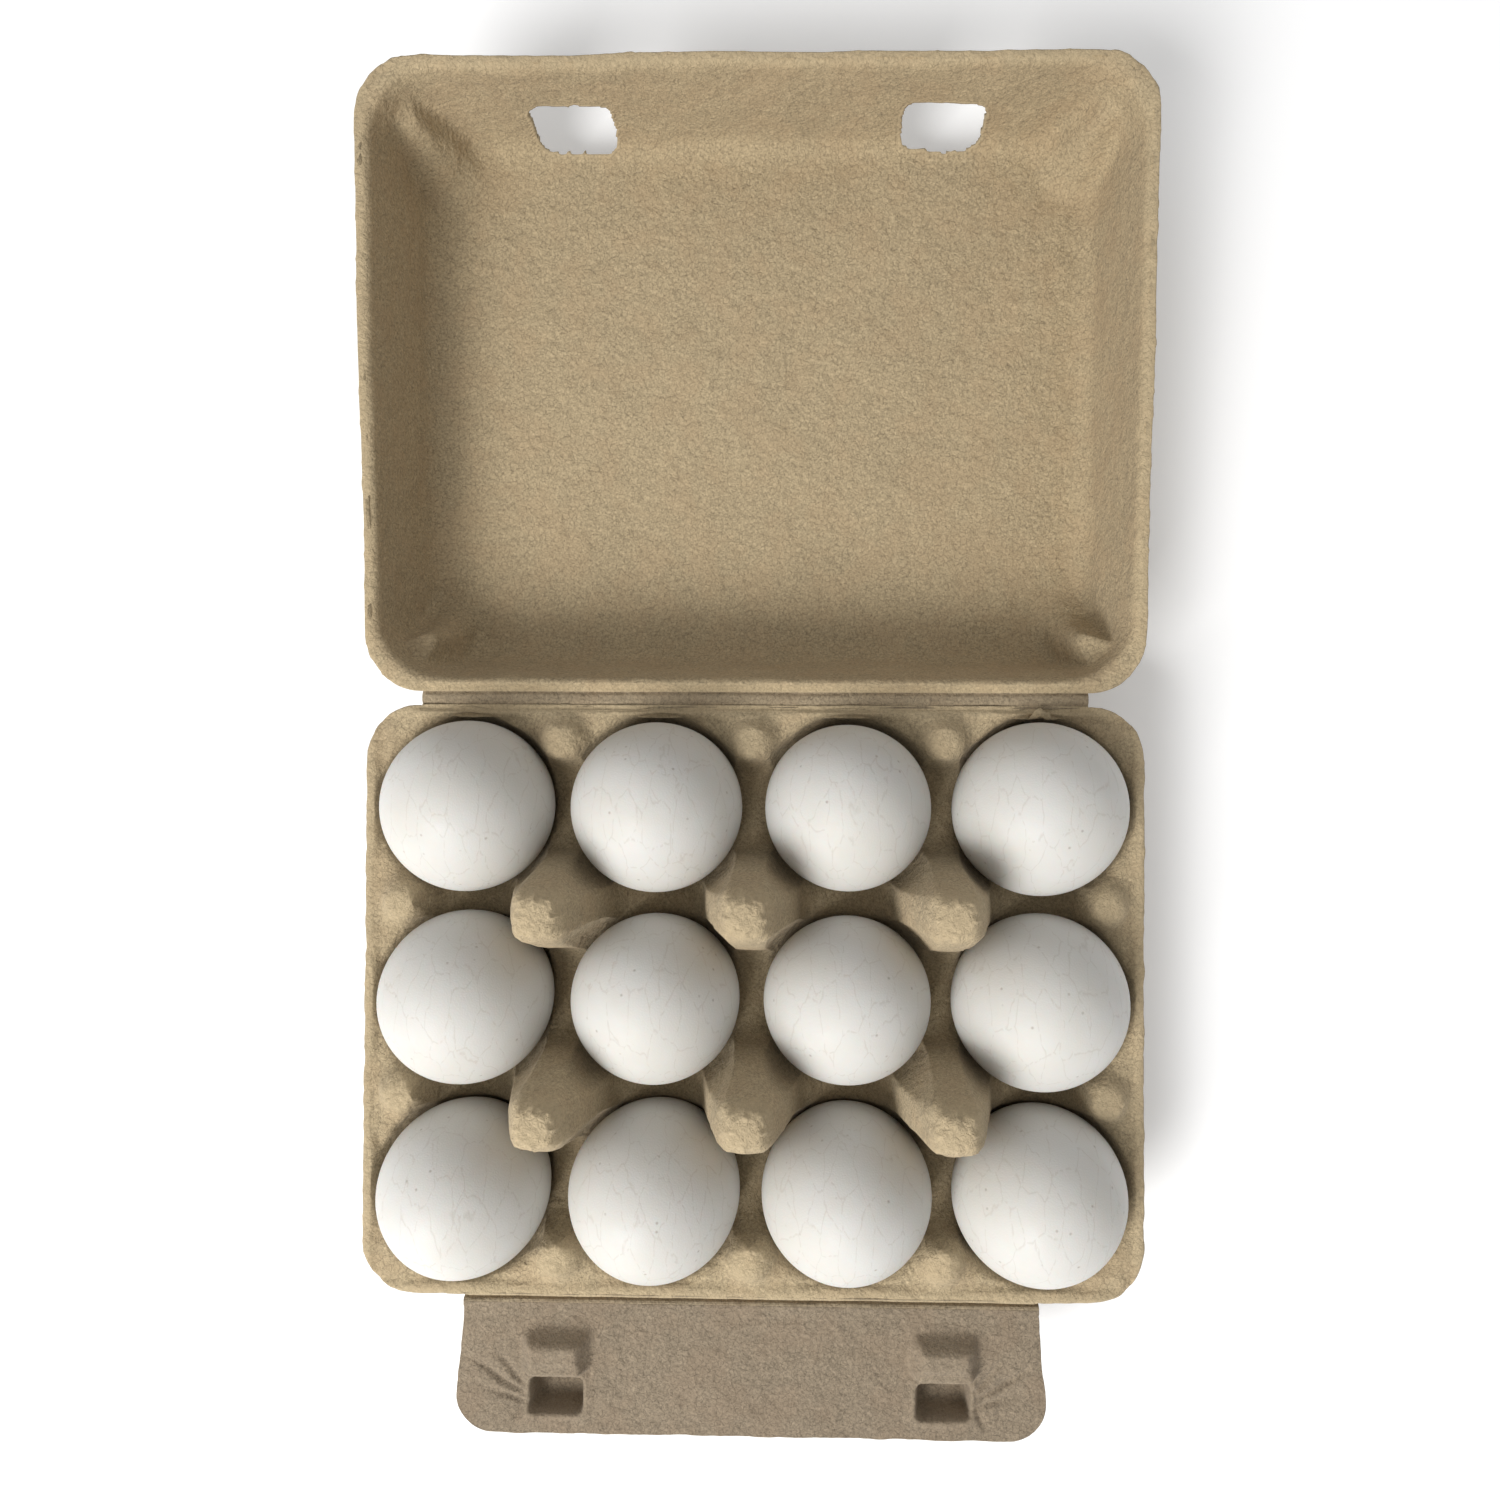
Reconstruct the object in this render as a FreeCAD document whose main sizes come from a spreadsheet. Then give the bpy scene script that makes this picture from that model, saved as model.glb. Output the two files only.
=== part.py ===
import FreeCAD, Part
import Sketcher
import os
from math import sqrt

# A moulded-pulp carton for twelve eggs, lying open on a table with an egg in every cell.
# Millimetres. The origin is on the table under the middle of the tray, +X runs along the
# hinge, +Y from the tray to the lid, and +Z is up.

COLUMNS = 4
ROWS = 3

SIZES = {
    # the sheet that everything but the eggs is moulded from
    "wall": 1.7,
    # tray cells
    "cell_pitch": 49,
    "bowl_floor_radius": 9,
    "bowl_radius": 24.2,
    "bowl_top_radius": 28,
    "bowl_side_radius": 60,
    # tray rim, measured on the tray lying flat
    "rim_height": 34,
    "side_flange": 2.6,
    "front_flange": 3.4,
    "rear_flange": 2.2,
    "tray_corner": 14,
    # posts between four cells, the saddles between posts and the low bumps along the rim
    "post_height": 66,
    "post_blank_radius": 14,
    "post_half_width": 7,
    "saddle_height": 22,
    "saddle_radius": 13,
    "saddle_half_width": 12,
    "bump_height": 3.5,
    "bump_radius": 6,
    "bump_inset": 10.8,
    # double crease between the tray and the lid
    "hinge_width": 172,
    "crease_gap": 3.1,
    "closing_gap": 0.4,
    "land_width": 1.2,
    "land_depth": 2,
    # lid
    "lid_overlap": 0.7,
    "lid_flange": 3.8,
    "lid_rear_flange": 3.5,
    "headroom": 2.2,
    "lid_draft": 9.6,
    "lid_corner": 15,
    "cavity_corner": 17,
    "lid_fillet": 10,
    "table_gap": 0.15,
    "front_buttress_inset": 7,
    "rear_buttress_inset": 9,
    "buttress_side_inset": 7,
    "buttress_start": 13,
    "buttress_top_radius": 0.5,
    "buttress_floor_radius": 8.3,
    # front flap and its two latches
    "flap_width": 147,
    "flap_flare": 2,
    "flap_strip": 5.2,
    "flap_corner": 10,
    "flap_clearance": 1.7,
    "latch_spacing": 99,
    "latch_depth": 24.5,
    "latch_width": 16.5,
    "latch_height": 11.5,
    "latch_reach": 7.5,
    "latch_draft": 8,
    "latch_side_clearance": 2.5,
    "latch_end_clearance": 2.6,
    "bulge_width": 19,
    "bulge_rise": 5,
    "bulge_draft": 20,
    "bulge_clearance": 0.6,
    # eggs, pointed end down
    "egg_width": 44,
    "egg_length": 57,
    "egg_pointed_half": 31,
    "egg_tip_radius": 13.5,
    "egg_crown_radius": 17,
    "egg_seat_gap": 0.3,
    # how far a cutting shape runs past what it cuts
    "margin": 2,
}

doc = FreeCAD.newDocument("egg_carton")
dims = doc.addObject("Spreadsheet::Sheet", "dims")
for row, (alias, size) in enumerate(SIZES.items(), 1):
    dims.set(f"A{row}", alias)
    dims.set(f"B{row}", str(size))
    dims.setAlias(f"B{row}", alias)
doc.recompute()

# Lengths that follow from the driving sizes.
SIDE_EDGE = f"({(COLUMNS - 1) / 2} * dims.cell_pitch + dims.bowl_radius + dims.side_flange)"
FRONT_EDGE = f"({(ROWS - 1) / 2} * dims.cell_pitch + dims.bowl_radius + dims.front_flange)"
REAR_EDGE = f"({(ROWS - 1) / 2} * dims.cell_pitch + dims.bowl_radius + dims.rear_flange)"
CUT_TOP = "(dims.post_height + dims.margin)"
PIVOT_DROP = "((dims.crease_gap - dims.closing_gap) / 2)"
PIVOT_HEIGHT = f"(dims.rim_height - {PIVOT_DROP})"
LID_SIDE_EDGE = f"({SIDE_EDGE} + dims.lid_overlap)"
CAVITY_FRONT = f"({REAR_EDGE} + {FRONT_EDGE} + dims.wall + dims.flap_clearance)"
LID_LENGTH = f"({CAVITY_FRONT} + dims.lid_flange)"
LID_DEPTH = "(dims.post_height - dims.rim_height - dims.closing_gap + dims.headroom + dims.wall)"
CREASE_TWO = f"({FRONT_EDGE} + dims.flap_strip)"
PANEL_LENGTH = f"({LID_DEPTH} - dims.wall + dims.closing_gap - dims.flap_strip)"
LATCH_CENTRE = f"({CREASE_TWO} + dims.latch_depth + dims.closing_gap - dims.flap_strip)"


def value(expression):
    return float(dims.evalExpression(str(expression)))


def bind(feature, **expressions):
    for name, expression in expressions.items():
        feature.setExpression(name.replace("__", "."), str(expression))


def make_body(label):
    body = doc.addObject("PartDesign::Body", label)
    body.Label = label
    return body


def origin_part(body, role):
    return next(item for item in body.Origin.OriginFeatures if item.Role == role)


def make_sketch(body, name, plane, x=0, y=0, z=0):
    """An empty sketch on one of the body's own planes, moved by x, y and z along the sketch's axes."""
    sketch = body.newObject("Sketcher::SketchObject", name)
    sketch.AttachmentSupport = [(origin_part(body, plane), "")]
    sketch.MapMode = "FlatFace"
    bind(sketch, AttachmentOffset__Base__x=x, AttachmentOffset__Base__y=y, AttachmentOffset__Base__z=z)
    return sketch


def constrain(sketch, name, expression, kind, *where):
    index = sketch.addConstraint(Sketcher.Constraint(kind, *where, value(expression)))
    sketch.renameConstraint(index, name)
    bind(sketch, **{f"Constraints.{name}": expression})


def arc_between(start, end, radius):
    """An anticlockwise arc, the short way round."""
    chord = end - start
    half = chord.Length / 2
    sagitta = radius - sqrt(max(radius * radius - half * half, 0))
    outward = FreeCAD.Vector(chord.y, -chord.x, 0).normalize()
    return Part.Arc(start, (start + end) / 2 + outward * sagitta, end)


def draw(sketch, corners):
    """A closed outline, anticlockwise. A corner's third value is the radius of the arc that leads to it."""
    spots = [FreeCAD.Vector(value(corner[0]), value(corner[1]), 0) for corner in corners]
    first = sketch.GeometryCount
    for index, corner in enumerate(corners):
        start, end = spots[index - 1], spots[index]
        curved = len(corner) == 3
        edge = arc_between(start, end, value(corner[2])) if curved else Part.LineSegment(start, end)
        sketch.addGeometry(edge)
    count = len(corners)
    for index, corner in enumerate(corners):
        edge = first + index
        following = first + (index + 1) % count
        sketch.addConstraint(Sketcher.Constraint("Coincident", edge, 2, following, 1))
        constrain(sketch, f"across{edge}", corner[0], "DistanceX", -1, 1, edge, 2)
        constrain(sketch, f"along{edge}", corner[1], "DistanceY", -1, 1, edge, 2)
        if len(corner) == 3:
            constrain(sketch, f"radius{edge}", corner[2], "Radius", edge)


def draw_circle(sketch, x, y, radius):
    centre = FreeCAD.Vector(value(x), value(y), 0)
    circle = sketch.addGeometry(Part.Circle(centre, FreeCAD.Vector(0, 0, 1), value(radius)))
    constrain(sketch, f"across{circle}", x, "DistanceX", -1, 1, circle, 3)
    constrain(sketch, f"along{circle}", y, "DistanceY", -1, 1, circle, 3)
    constrain(sketch, f"radius{circle}", radius, "Radius", circle)


def rectangle(side, front, rear, corner=None):
    """Corners of a rectangle that reaches side to the left and right, rounded if corner is given."""
    if corner is None:
        return [(f"-{side}", front), (side, front), (side, rear), (f"-{side}", rear)]
    return [
        (f"{side} - {corner}", front),
        (side, f"{front} + {corner}", corner),
        (side, f"{rear} - {corner}"),
        (f"{side} - {corner}", rear, corner),
        (f"{corner} - {side}", rear),
        (f"-{side}", f"{rear} - {corner}", corner),
        (f"-{side}", f"{front} + {corner}"),
        (f"{corner} - {side}", front, corner),
    ]


def add_feature(body, kind, sketch, name, length, upward=True, **expressions):
    """A pad or a pocket from a sketch; upward is the way along the sketch's own normal."""
    feature = body.newObject(f"PartDesign::{kind}", name)
    feature.Profile = sketch
    bind(feature, Length=length, **expressions)
    feature.Reversed = upward if kind == "Pocket" else not upward
    return feature


def make_box(label, x, y, z, length, width, height):
    box = doc.addObject("Part::Box", label)
    box.Label = label
    bind(box, Length=length, Width=width, Height=height)
    bind(box, Placement__Base__x=x, Placement__Base__y=y, Placement__Base__z=z)
    return box


def fuse(label, pieces):
    union = doc.addObject("Part::MultiFuse", label)
    union.Label = label
    union.Shapes = pieces
    return union


def cut(label, base, tool):
    difference = doc.addObject("Part::Cut", label)
    difference.Label = label
    difference.Base = base
    difference.Tool = tool
    return difference


def cell_places(count):
    return [f"{index - (count - 1) / 2} * dims.cell_pitch" for index in range(count)]


def post_places(count):
    return [f"{index - (count - 2) / 2} * dims.cell_pitch" for index in range(count - 1)]


# ---- tray


def trough(place, inset):
    """The round-bottomed notch that leaves a saddle between two posts."""
    radius = f"(dims.saddle_radius + {inset})"
    half = f"(dims.saddle_half_width + {inset})"
    shoulder = f"dims.saddle_height - {inset} + {radius} - sqrt({radius} ^ 2 - {half} ^ 2)"
    top_half = f"(dims.cell_pitch / 2 - dims.post_half_width + {inset})"
    return [
        (f"{place} - {half}", shoulder),
        (f"{place} + {half}", shoulder, radius),
        (f"{place} + {top_half}", CUT_TOP),
        (f"{place} - {top_half}", CUT_TOP),
    ]


def bowl(inset):
    """Half section of the space an egg stands in."""
    floor = f"dims.wall - {inset}"
    return [
        ("0", floor),
        ("dims.bowl_floor_radius", floor),
        (f"dims.bowl_radius + {inset}", "dims.rim_height", f"dims.bowl_side_radius + {inset}"),
        (f"dims.bowl_top_radius + {inset}", CUT_TOP),
        ("0", CUT_TOP),
    ]


def tray_form(label, inset, margin):
    """Everything under one face of the tray: inset is how far that face lies inside the upper one."""
    body = make_body(label)

    slab = make_sketch(body, f"{label}_slab_outline", "XY_Plane", z=f"-{margin}")
    draw(slab, rectangle(f"({SIDE_EDGE} + {margin})", f"-({FRONT_EDGE} + {margin})",
                         f"({REAR_EDGE} + {margin})", f"(dims.tray_corner + {margin})"))
    add_feature(body, "Pad", slab, f"{label}_slab", f"dims.rim_height - {inset} + {margin}")

    posts = make_sketch(body, f"{label}_post_circles", "XY_Plane")
    bumps = make_sketch(body, f"{label}_bump_circles", "XY_Plane")
    bump_radius = f"dims.bump_radius - {inset}"
    for x in post_places(COLUMNS):
        for y in post_places(ROWS):
            draw_circle(posts, x, y, "dims.post_blank_radius")
        draw_circle(bumps, x, f"dims.bump_inset - {FRONT_EDGE}", bump_radius)
        draw_circle(bumps, x, f"{REAR_EDGE} - dims.bump_inset", bump_radius)
    for y in post_places(ROWS):
        draw_circle(bumps, f"dims.bump_inset - {SIDE_EDGE}", y, bump_radius)
        draw_circle(bumps, f"{SIDE_EDGE} - dims.bump_inset", y, bump_radius)
    add_feature(body, "Pad", posts, f"{label}_posts", f"dims.post_height - {inset}")
    add_feature(body, "Pad", bumps, f"{label}_bumps", f"dims.rim_height + dims.bump_height - {inset}")

    for plane, near, far in (("YZ_Plane", ROWS, COLUMNS), ("XZ_Plane", COLUMNS, ROWS)):
        troughs = make_sketch(body, f"{label}_trough_outlines_{near}", plane)
        for place in cell_places(near):
            draw(troughs, trough(place, inset))
        notch = add_feature(body, "Pocket", troughs, f"{label}_troughs_{near}",
                            f"{far - 1} * dims.cell_pitch")
        notch.Midplane = True

    section = make_sketch(body, f"{label}_bowl_section", "XZ_Plane",
                          x=cell_places(COLUMNS)[0], z=f"-({cell_places(ROWS)[0]})")
    draw(section, bowl(inset))
    groove = body.newObject("PartDesign::Groove", f"{label}_bowl")
    groove.Profile = section
    groove.ReferenceAxis = (section, ["V_Axis"])
    groove.Angle = 360
    doc.recompute()

    row_pattern = body.newObject("PartDesign::LinearPattern", f"{label}_bowl_row")
    row_pattern.Direction = (origin_part(body, "X_Axis"), [""])
    row_pattern.Occurrences = COLUMNS
    bind(row_pattern, Length=f"{COLUMNS - 1} * dims.cell_pitch")
    column_pattern = body.newObject("PartDesign::LinearPattern", f"{label}_bowl_column")
    column_pattern.Direction = (origin_part(body, "Y_Axis"), [""])
    column_pattern.Occurrences = ROWS
    bind(column_pattern, Length=f"{ROWS - 1} * dims.cell_pitch")
    cells = body.newObject("PartDesign::MultiTransform", f"{label}_bowls")
    cells.Originals = [groove]
    cells.Transformations = [row_pattern, column_pattern]
    body.Tip = cells
    return body


def make_tray():
    upper = tray_form("tray_upper", "0", "0")
    under = tray_form("tray_under", "dims.wall", "dims.margin")
    shell = cut("tray_shell", upper, under)
    half_hinge = "dims.hinge_width / 2"
    rib = make_box("tray_rib", f"-{half_hinge}", f"{REAR_EDGE} - dims.land_depth", f"{PIVOT_HEIGHT} - dims.wall",
                   "dims.hinge_width", "dims.land_depth", "dims.wall")
    step = make_box("tray_step", f"-{half_hinge}", f"{REAR_EDGE} - dims.land_width", PIVOT_HEIGHT,
                    "dims.hinge_width", "dims.land_width + dims.margin", "dims.margin")
    return cut("base_tray", fuse("tray_with_rib", [shell, rib]), step)


# ---- hinge strip and lid


def make_hinge_strip():
    return make_box("hinge_strip", "-dims.hinge_width / 2", REAR_EDGE, f"{PIVOT_HEIGHT} - dims.wall",
                    "dims.hinge_width", "dims.crease_gap", "dims.wall")


def lid_form(label, inset, depth):
    """A tapered pan below the lid's rim, with its floor edges rounded."""
    body = make_body(label)
    outline = make_sketch(body, f"{label}_outline", "XY_Plane", z=PIVOT_DROP)
    draw(outline, rectangle(f"({LID_SIDE_EDGE} - dims.lid_flange + {inset})",
                            f"(dims.lid_rear_flange - {inset})", f"({CAVITY_FRONT} + {inset})",
                            f"(dims.cavity_corner + {inset})"))
    pan = add_feature(body, "Pad", outline, f"{label}_pan", depth, upward=False, TaperAngle="-dims.lid_draft")
    doc.recompute()
    floor = value(PIVOT_DROP) - value(depth)
    edges = [f"Edge{number}" for number, edge in enumerate(pan.Shape.Edges, 1)
             if abs(edge.BoundBox.ZMax - floor) < 1e-6]
    rounding = body.newObject("PartDesign::Fillet", f"{label}_floor_fillet")
    rounding.Base = (pan, edges)
    bind(rounding, Radius=f"dims.lid_fillet + {inset}")
    body.Tip = rounding
    return body


def buttresses(label, inset):
    """Cones in the lid's four corners; the walls bulge inward round them."""
    side = f"({LID_SIDE_EDGE} - dims.lid_flange - dims.buttress_side_inset)"
    length = f"({LID_DEPTH} + dims.margin - dims.buttress_start - dims.wall + {inset})"
    cones = []
    for end, y in (("rear", "dims.lid_rear_flange + dims.rear_buttress_inset"),
                   ("front", f"{CAVITY_FRONT} - dims.front_buttress_inset")):
        for hand, x in (("left", f"-{side}"), ("right", side)):
            cone = doc.addObject("Part::Cone", f"{label}_{end}_{hand}")
            cone.Label = f"{label}_{end}_{hand}"
            bind(cone, Radius1=f"dims.buttress_floor_radius + {inset}",
                 Radius2=f"dims.buttress_top_radius + {inset}", Height=length)
            bind(cone, Placement__Base__x=x, Placement__Base__y=y,
                 Placement__Base__z=f"{PIVOT_DROP} - {LID_DEPTH} - dims.margin")
            cones.append(cone)
    return fuse(label, cones)


def make_lid():
    """Drawn flat with the lid's own crease on the X axis, then tipped until its floor rests on the table."""
    flange_body = make_body("lid_flange")
    flange = make_sketch(flange_body, "lid_flange_outline", "XY_Plane", z=f"{PIVOT_DROP} - dims.wall")
    draw(flange, rectangle(LID_SIDE_EDGE, "0", LID_LENGTH, "dims.lid_corner"))
    add_feature(flange_body, "Pad", flange, "lid_flange_plate", "dims.wall")

    half_hinge = "dims.hinge_width / 2"
    rib = make_box("lid_rib", f"-{half_hinge}", "0", "-dims.wall", "dims.hinge_width", "dims.land_depth",
                   "dims.wall")
    step = make_box("lid_step", f"-{half_hinge}", "-dims.margin", "0", "dims.hinge_width",
                    "dims.land_width + dims.margin", "dims.margin")

    outer = lid_form("lid_outer", "dims.wall", LID_DEPTH)
    inner = lid_form("lid_inner", "0", f"({LID_DEPTH} - dims.wall)")
    outside = cut("lid_outside", outer, buttresses("outer_buttress", "0"))
    cavity = cut("lid_cavity", inner, buttresses("inner_buttress", "dims.wall"))
    hole_width = "(dims.latch_width + 2 * dims.latch_side_clearance)"
    hole_height = "(dims.latch_height + 2 * dims.latch_end_clearance)"
    tools = [cavity, step]
    for hand, sign in (("left", "-"), ("right", "")):
        tools.append(make_box(f"latch_hole_{hand}", f"{sign}dims.latch_spacing / 2 - {hole_width} / 2",
                              f"{CAVITY_FRONT} - dims.cavity_corner",
                              f"{PIVOT_DROP} - dims.latch_depth - {hole_height} / 2",
                              hole_width, "dims.cavity_corner + dims.margin + dims.lid_flange", hole_height))
    lid = cut("lid", fuse("lid_blank", [flange_body, outside, rib]), fuse("lid_tools", tools))

    half_angle = "(45 + dims.lid_draft / 2)"
    outer_fillet = "(dims.lid_fillet + dims.wall)"
    contact = (f"(dims.lid_rear_flange - dims.wall + {LID_DEPTH} * tan(dims.lid_draft)"
               f" + {outer_fillet} / tan({half_angle}))")
    drop = f"({LID_DEPTH} - {PIVOT_DROP})"
    reach = f"sqrt({contact} ^ 2 + {drop} ^ 2)"
    tip = f"atan({drop} / {contact}) - asin(({PIVOT_HEIGHT} - dims.table_gap) / {reach})"
    lid.Placement = FreeCAD.Placement(FreeCAD.Vector(), FreeCAD.Rotation(FreeCAD.Vector(1, 0, 0), value(tip)))
    bind(lid, Placement__Rotation__Angle=tip, Placement__Base__y=f"{REAR_EDGE} + dims.crease_gap",
         Placement__Base__z=PIVOT_HEIGHT)
    return lid


# ---- front flap


def make_flap_strip():
    return make_box("flap_strip", "-dims.flap_width / 2", f"-{CREASE_TWO}", "dims.rim_height - dims.wall",
                    "dims.flap_width", "dims.flap_strip", "dims.wall")


def make_front_flap():
    """The panel beyond the strip, with two hollow latches under it and a bulge before each."""
    body = make_body("front_flap")
    root = "dims.flap_width / 2"
    tip = "(dims.flap_width / 2 + dims.flap_flare)"
    end = f"({CREASE_TWO} + {PANEL_LENGTH})"
    panel = make_sketch(body, "panel_outline", "XY_Plane", z="dims.rim_height - dims.wall")
    draw(panel, [
        (f"-{root}", f"-{CREASE_TWO}"),
        (f"-{tip}", f"dims.flap_corner - {end}"),
        (f"dims.flap_corner - {tip}", f"-{end}", "dims.flap_corner"),
        (f"{tip} - dims.flap_corner", f"-{end}"),
        (tip, f"dims.flap_corner - {end}", "dims.flap_corner"),
        (root, f"-{CREASE_TWO}"),
    ])
    add_feature(body, "Pad", panel, "panel", "dims.wall")

    half_latch = "dims.latch_height / 2"
    bulge_near = (f"{FRONT_EDGE} + dims.wall + dims.flap_clearance + dims.lid_flange"
                  " + dims.bulge_clearance")
    bulge_far = f"{LATCH_CENTRE} - {half_latch} - dims.wall / 2"
    top, underside = "dims.rim_height", "dims.rim_height - dims.wall"
    blocks = (
        ("Pad", "latch", underside, False, "0", "dims.latch_reach", "dims.latch_width",
         f"{LATCH_CENTRE} - {half_latch}", f"{LATCH_CENTRE} + {half_latch}", "dims.latch_draft"),
        ("Pad", "bulge", top, True, "0", "dims.bulge_rise", "dims.bulge_width",
         bulge_near, bulge_far, "dims.bulge_draft"),
        ("Pocket", "latch_hollow", top, False, "dims.wall", "dims.latch_reach", "dims.latch_width",
         f"{LATCH_CENTRE} - {half_latch}", f"{LATCH_CENTRE} + {half_latch}", "dims.latch_draft"),
        ("Pocket", "bulge_hollow", underside, True, "dims.wall", "dims.bulge_rise", "dims.bulge_width",
         bulge_near, bulge_far, "dims.bulge_draft"),
    )
    for kind, name, level, upward, inset, depth, width, near, far, draft in blocks:
        sketch = make_sketch(body, f"{name}_outline", "XY_Plane", z=level)
        for sign in ("-", ""):
            centre = f"{sign}dims.latch_spacing / 2"
            left, right = f"{centre} - {width} / 2 + {inset}", f"{centre} + {width} / 2 - {inset}"
            lower, upper = f"{inset} - ({far})", f"-({near}) - {inset}"
            draw(sketch, [(left, lower), (right, lower), (right, upper), (left, upper)])
        add_feature(body, kind, sketch, name, depth, upward, TaperAngle=f"-{draft}")
    return body


# ---- eggs


def egg_side(half, cap):
    """Radius of the arc that joins the widest ring, upright, to a cap of the given radius."""
    wide = "(dims.egg_width / 2)"
    return f"((({half} - {cap}) ^ 2 / ({wide} - {cap}) + {wide} + {cap}) / 2)"


def egg_join(half, cap):
    """Where the side arc meets the cap: its radius from the axis and its height beyond the cap's centre."""
    side = egg_side(half, cap)
    across = f"{cap} * ({side} - dims.egg_width / 2) / ({side} - {cap})"
    beyond = f"{cap} * ({half} - {cap}) / ({side} - {cap})"
    return across, beyond


def make_egg(number, column, row):
    body = make_body(f"egg_{number}")
    section = make_sketch(body, f"egg_{number}_section", "XZ_Plane")
    low, low_cap = "dims.egg_pointed_half", "dims.egg_tip_radius"
    high, high_cap = "(dims.egg_length - dims.egg_pointed_half)", "dims.egg_crown_radius"
    low_across, low_beyond = egg_join(low, low_cap)
    high_across, high_beyond = egg_join(high, high_cap)
    draw(section, [
        ("0", "0"),
        (low_across, f"{low_cap} - {low_beyond}", low_cap),
        ("dims.egg_width / 2", low, egg_side(low, low_cap)),
        (high_across, f"dims.egg_length - {high_cap} + {high_beyond}", egg_side(high, high_cap)),
        ("0", "dims.egg_length", high_cap),
    ])
    turned = body.newObject("PartDesign::Revolution", f"egg_{number}_turned")
    turned.Profile = section
    turned.ReferenceAxis = (section, ["V_Axis"])
    turned.Angle = 360
    bind(body, Placement__Base__x=cell_places(COLUMNS)[column], Placement__Base__y=cell_places(ROWS)[row],
         Placement__Base__z="dims.wall + dims.egg_seat_gap")
    return body


def make_eggs():
    """Numbered from the rear left cell, row by row."""
    eggs = []
    for row in reversed(range(ROWS)):
        for column in range(COLUMNS):
            eggs.append(make_egg(len(eggs) + 1, column, row))
    return eggs


nodes = [make_tray(), make_hinge_strip(), make_lid(), make_flap_strip(), make_front_flap()]
nodes += make_eggs()
doc.recompute()

for item in doc.Objects:
    if "Invalid" in item.State or "Error" in item.State:
        raise RuntimeError(f"{item.Label} failed: {item.State}")
os.makedirs("parts", exist_ok=True)
for node in nodes:
    if node.Shape.isNull() or not node.Shape.isValid() or len(node.Shape.Solids) != 1:
        raise RuntimeError(f"{node.Label} is not one valid solid")
for node in nodes:
    node.Shape.exportStep(f"parts/{node.Label}.step")
    bounds = node.Shape.BoundBox
    print(f"{node.Label}: {node.Shape.Volume / 1000:.1f} cm3, "
          f"x {bounds.XMin:.2f}..{bounds.XMax:.2f}, y {bounds.YMin:.2f}..{bounds.YMax:.2f}, "
          f"z {bounds.ZMin:.2f}..{bounds.ZMax:.2f}")
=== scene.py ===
import math

import bmesh
import bpy
from mathutils import Euler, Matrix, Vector, noise


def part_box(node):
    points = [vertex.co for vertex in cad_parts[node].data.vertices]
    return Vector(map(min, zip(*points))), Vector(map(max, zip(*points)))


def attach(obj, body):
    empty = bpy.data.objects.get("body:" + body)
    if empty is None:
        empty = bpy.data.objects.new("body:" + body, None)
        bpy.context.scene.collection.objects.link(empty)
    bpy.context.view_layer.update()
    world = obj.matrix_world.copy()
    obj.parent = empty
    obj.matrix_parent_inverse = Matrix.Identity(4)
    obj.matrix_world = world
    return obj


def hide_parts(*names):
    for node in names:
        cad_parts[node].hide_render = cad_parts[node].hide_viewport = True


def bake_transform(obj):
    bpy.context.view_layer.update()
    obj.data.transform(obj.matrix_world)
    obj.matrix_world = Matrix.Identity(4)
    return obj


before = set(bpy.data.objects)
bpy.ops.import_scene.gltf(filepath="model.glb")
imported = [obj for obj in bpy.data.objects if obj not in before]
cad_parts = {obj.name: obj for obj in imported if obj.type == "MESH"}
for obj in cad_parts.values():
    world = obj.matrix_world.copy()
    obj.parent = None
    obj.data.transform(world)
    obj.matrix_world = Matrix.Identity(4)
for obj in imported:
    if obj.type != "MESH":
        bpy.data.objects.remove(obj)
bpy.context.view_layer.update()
mm = 0.001

# ---- where the frame puts things

trayLow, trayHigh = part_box("base_tray")
stripLow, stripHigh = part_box("flap_strip")
hingeLow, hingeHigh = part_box("hinge_strip")
flapLow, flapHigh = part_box("front_flap")
lidLow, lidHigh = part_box("lid")
eggBoxes = [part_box(f"egg_{number}") for number in range(1, 13)]
eggMiddles = [(low + high) / 2 for low, high in eggBoxes]
columnXs = [eggMiddles[index].x for index in range(4)]
rowYs = [eggMiddles[index].y for index in (8, 4, 0)]
pitch = columnXs[1] - columnXs[0]
rim = stripHigh.z
pivotZ = hingeHigh.z
pulpWall = stripHigh.z - stripLow.z


# ---- small helpers

def mix(a, b, share):
    return a + (b - a) * share


def step(low, high, value):
    share = min(1.0, max(0.0, (value - low) / (high - low)))
    return share * share * (3 - 2 * share)


def lump(place, size, seed=0.0):
    # smooth unevenness, about -1 to 1, with lumps of the given size
    return noise.noise(place / size + Vector((seed, seed * 1.7, -seed)))


def shred(place, size, seed=0.0):
    # sharper torn-fibre unevenness
    return noise.turbulence(place / size + Vector((seed, -seed, seed)), 3, False) - 0.6


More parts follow.
